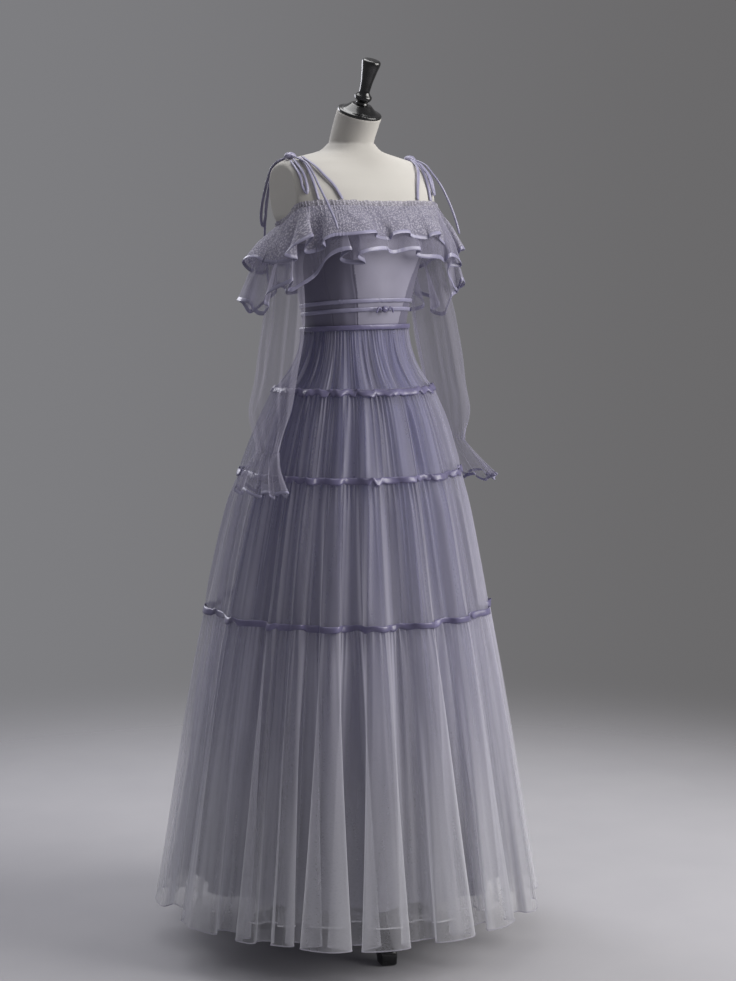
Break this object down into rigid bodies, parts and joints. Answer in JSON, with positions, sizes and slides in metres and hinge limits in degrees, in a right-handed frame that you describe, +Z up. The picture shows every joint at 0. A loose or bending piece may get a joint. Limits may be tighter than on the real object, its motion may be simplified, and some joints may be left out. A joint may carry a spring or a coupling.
{
  "type": "a-line prom dress on a limbless dress form with a tripod stand",
  "caption": "Floor-length a-line prom dress in tiered sheer tulle with ruffled neckline and long sheer sleeves, on a limbless dress form and tripod stand.",
  "frame": {"origin": "on the floor, under the middle of the whole", "axes": "+Z up, the front of the dress towards -Y, the left side of the wearer towards +X"},
  "size_m": [0.7948, 0.796, 1.7973],
  "materials": {
    "form_cover": "matt off-white linen over a padded form",
    "black_lacquer": "gloss black",
    "bodice_cloth": "matt satin under tulle",
    "lining_cloth": "matt lining",
    "tulle_inner": "fine sheer net",
    "tulle_lilac": "fine sheer net",
    "tulle_pale": "fine sheer net",
    "lace": "crinkled lace",
    "satin_ribbon": "satin ribbon"
  },
  "bodies": {
    "root": {"form_torso": "form_cover", "neck_cap": "black_lacquer", "neck_finial": "black_lacquer", "stand_pole": "black_lacquer", "stand_hub": "black_lacquer", "stand_leg_1": "black_lacquer", "stand_leg_2": "black_lacquer", "stand_leg_3": "black_lacquer", "bodice_front": "bodice_cloth", "bodice_side_front_left": "bodice_cloth", "bodice_side_front_right": "bodice_cloth", "bodice_side_left": "bodice_cloth", "bodice_side_right": "bodice_cloth", "bodice_back_left": "bodice_cloth", "bodice_back_right": "bodice_cloth", "waist_inset": "bodice_cloth", "slip_lining": "lining_cloth", "underskirt_tulle": "tulle_inner", "skirt_tier_1": "tulle_lilac", "skirt_tier_2": "tulle_lilac", "skirt_tier_3": "tulle_lilac", "ruffle_tulle": "tulle_lilac", "sleeve_left": "tulle_lilac", "sleeve_right": "tulle_lilac", "cuff_left": "tulle_lilac", "cuff_right": "tulle_lilac", "skirt_tier_4": "tulle_pale", "ruffle_lace": "lace", "neck_heading": "lace", "back_zip": "satin_ribbon", "waist_binding": "satin_ribbon", "satin_band_lower": "satin_ribbon", "satin_band_upper": "satin_ribbon", "waist_knot": "satin_ribbon", "waist_tie_end_left": "satin_ribbon", "waist_tie_end_right": "satin_ribbon", "tier_ribbon_1": "satin_ribbon", "tier_ribbon_2": "satin_ribbon", "tier_ribbon_3": "satin_ribbon", "ruffle_tulle_trim": "satin_ribbon", "ruffle_lace_trim": "satin_ribbon", "cuff_trim_left": "satin_ribbon", "cuff_trim_right": "satin_ribbon", "tie_knot_left": "satin_ribbon", "tie_knot_right": "satin_ribbon", "strap_front_inner_left": "satin_ribbon", "strap_front_inner_right": "satin_ribbon", "strap_front_outer_left": "satin_ribbon", "strap_front_outer_right": "satin_ribbon", "strap_back_left": "satin_ribbon", "strap_back_right": "satin_ribbon", "tie_loop_front_left": "satin_ribbon", "tie_loop_front_right": "satin_ribbon", "tie_loop_back_left": "satin_ribbon", "tie_loop_back_right": "satin_ribbon", "tie_tail_front_left": "satin_ribbon", "tie_tail_front_right": "satin_ribbon", "tie_tail_back_left": "satin_ribbon", "tie_tail_back_right": "satin_ribbon"}
  },
  "joints": []
}
